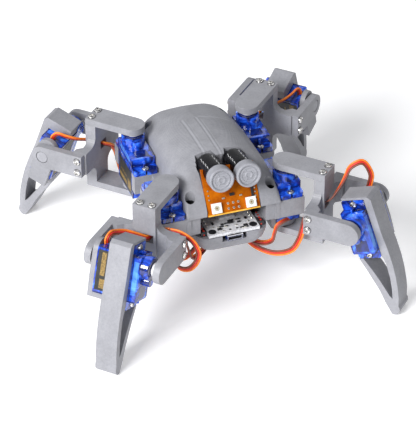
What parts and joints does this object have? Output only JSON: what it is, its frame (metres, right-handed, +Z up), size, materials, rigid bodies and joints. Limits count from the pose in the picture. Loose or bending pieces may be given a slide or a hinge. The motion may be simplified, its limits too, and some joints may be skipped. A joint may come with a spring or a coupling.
{
  "type": "quadruped walking robot",
  "caption": "Walking robot with a domed body and jointed legs, each with a yawing hip and a pitching knee driven by small servos, and a forward-looking sensor head.",
  "frame": {"origin": "centre of the robot on the ground, midway between the four feet", "axes": "+Z up, -Y forwards (the way the sensors look), +X to the robot's left, across the wider foot spacing"},
  "size_m": [0.16, 0.153, 0.0801],
  "materials": {
    "printed_grey": "fine printed layer lines",
    "servo_blue": "translucent gloss",
    "horn_white": "smooth",
    "board_black": "satin",
    "board_white": "satin",
    "board_orange": "translucent gloss",
    "barrel_black": "gloss",
    "cap_grey": "printed rings",
    "led_white": "smooth",
    "lead_wire": "satin"
  },
  "bodies": {
    "body": {"chassis_frame": "printed_grey", "top_shell": "printed_grey", "bottom_tray": "printed_grey", "carrier_board": "board_black", "control_board": "board_white", "sensor_board": "board_orange", "eye_barrel_right": "barrel_black", "eye_cap_right": "cap_grey", "led_right": "led_white", "eye_barrel_left": "barrel_black", "eye_cap_left": "cap_grey", "led_left": "led_white", "front_left_hip_servo": "servo_blue", "front_left_knee_lead_lower": "lead_wire", "front_left_hip_lead": "lead_wire", "front_right_hip_servo": "servo_blue", "front_right_knee_lead_lower": "lead_wire", "front_right_hip_lead": "lead_wire", "rear_left_hip_servo": "servo_blue", "rear_left_knee_lead_lower": "lead_wire", "rear_left_hip_lead": "lead_wire", "rear_right_hip_servo": "servo_blue", "rear_right_knee_lead_lower": "lead_wire", "rear_right_hip_lead": "lead_wire"},
    "front_left_hip": {"front_left_hip_horn": "horn_white", "front_left_hip_top_arm": "printed_grey", "front_left_hip_bracket": "printed_grey", "front_left_fork_horn_arm": "printed_grey", "front_left_fork_idler_arm": "printed_grey", "front_left_knee_horn": "horn_white", "front_left_knee_lead_upper": "lead_wire"},
    "front_left_shin": {"front_left_tibia": "printed_grey", "front_left_knee_servo": "servo_blue"},
    "front_right_hip": {"front_right_hip_horn": "horn_white", "front_right_hip_top_arm": "printed_grey", "front_right_hip_bracket": "printed_grey", "front_right_fork_horn_arm": "printed_grey", "front_right_fork_idler_arm": "printed_grey", "front_right_knee_horn": "horn_white", "front_right_knee_lead_upper": "lead_wire"},
    "front_right_shin": {"front_right_tibia": "printed_grey", "front_right_knee_servo": "servo_blue"},
    "rear_left_hip": {"rear_left_hip_horn": "horn_white", "rear_left_hip_top_arm": "printed_grey", "rear_left_hip_bracket": "printed_grey", "rear_left_fork_horn_arm": "printed_grey", "rear_left_fork_idler_arm": "printed_grey", "rear_left_knee_horn": "horn_white", "rear_left_knee_lead_upper": "lead_wire"},
    "rear_left_shin": {"rear_left_tibia": "printed_grey", "rear_left_knee_servo": "servo_blue"},
    "rear_right_hip": {"rear_right_hip_horn": "horn_white", "rear_right_hip_top_arm": "printed_grey", "rear_right_hip_bracket": "printed_grey", "rear_right_fork_horn_arm": "printed_grey", "rear_right_fork_idler_arm": "printed_grey", "rear_right_knee_horn": "horn_white", "rear_right_knee_lead_upper": "lead_wire"},
    "rear_right_shin": {"rear_right_tibia": "printed_grey", "rear_right_knee_servo": "servo_blue"}
  },
  "joints": [
    {"name": "front_left_hip_yaw", "type": "hinge", "parent": "body", "child": "front_left_hip", "pos_m": [0.03, -0.0265, 0.05], "axis": [0, 0, 1], "range_deg": [-45, 45], "deforming": ["front_left_knee_lead_lower"]},
    {"name": "front_left_knee", "type": "hinge", "parent": "front_left_hip", "child": "front_left_shin", "pos_m": [0.0592, -0.0557, 0.05], "axis": [-0.7071, -0.7071, 0], "range_deg": [-45, 70], "deforming": ["front_left_knee_lead_upper"]},
    {"name": "front_right_hip_yaw", "type": "hinge", "parent": "body", "child": "front_right_hip", "pos_m": [-0.03, -0.0265, 0.05], "axis": [0, 0, 1], "range_deg": [-45, 45], "deforming": ["front_right_knee_lead_lower"]},
    {"name": "front_right_knee", "type": "hinge", "parent": "front_right_hip", "child": "front_right_shin", "pos_m": [-0.0592, -0.0557, 0.05], "axis": [-0.7071, 0.7071, 0], "range_deg": [-45, 70], "deforming": ["front_right_knee_lead_upper"]},
    {"name": "rear_left_hip_yaw", "type": "hinge", "parent": "body", "child": "rear_left_hip", "pos_m": [0.03, 0.0265, 0.05], "axis": [0, 0, 1], "range_deg": [-45, 45], "deforming": ["rear_left_knee_lead_lower"]},
    {"name": "rear_left_knee", "type": "hinge", "parent": "rear_left_hip", "child": "rear_left_shin", "pos_m": [0.0592, 0.0557, 0.05], "axis": [0.7071, -0.7071, 0], "range_deg": [-45, 70], "deforming": ["rear_left_knee_lead_upper"]},
    {"name": "rear_right_hip_yaw", "type": "hinge", "parent": "body", "child": "rear_right_hip", "pos_m": [-0.03, 0.0265, 0.05], "axis": [0, 0, 1], "range_deg": [-45, 45], "deforming": ["rear_right_knee_lead_lower"]},
    {"name": "rear_right_knee", "type": "hinge", "parent": "rear_right_hip", "child": "rear_right_shin", "pos_m": [-0.0592, 0.0557, 0.05], "axis": [0.7071, 0.7071, 0], "range_deg": [-45, 70], "deforming": ["rear_right_knee_lead_upper"]}
  ]
}
